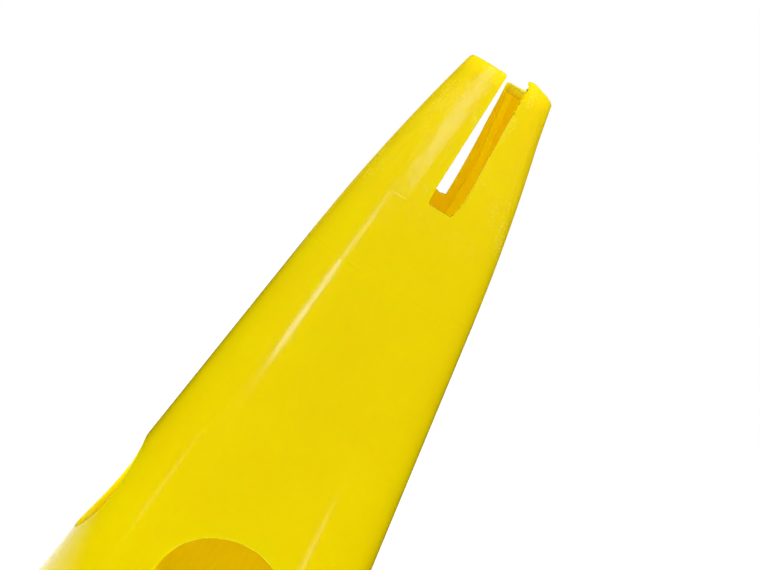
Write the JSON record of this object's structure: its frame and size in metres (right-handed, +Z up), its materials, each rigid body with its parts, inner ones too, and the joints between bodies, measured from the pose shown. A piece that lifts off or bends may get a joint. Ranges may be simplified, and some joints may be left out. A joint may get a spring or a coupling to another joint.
{
  "type": "felling wedge",
  "caption": "Hollow round tapered plastic felling wedge with a forked tip and finger holes, driven through a hardwood plug hooped with a nailed steel band.",
  "frame": {"origin": "centre of the plug's striking face, which is the lowest plane of the part", "axes": "+Z up the axis of the wedge to its forked tip; -Y is the front, with the large finger hole; the fork slot is cut through along Y and the small finger holes face +X and -X"},
  "size_m": [0.096, 0.096, 0.235],
  "materials": {
    "yellow_plastic": "glossy moulded yellow with fine handling scuffs",
    "hardwood": "turned hardwood, lightly oiled, bruised on the striking face",
    "band_steel": "rolled steel hoop with a dull scuffed surface",
    "nail_steel": "bright wire nail"
  },
  "bodies": {
    "plug_assembly": {"drive_plug": "hardwood", "plug_band": "band_steel", "band_nail_1": "nail_steel", "band_nail_2": "nail_steel", "band_nail_3": "nail_steel"},
    "shell_body": {"wedge_shell": "yellow_plastic"}
  },
  "joints": [
    {"name": "shell_lift", "type": "slide", "parent": "plug_assembly", "child": "shell_body", "axis": [0, 0, 1], "range_m": [0, 0.035]}
  ]
}
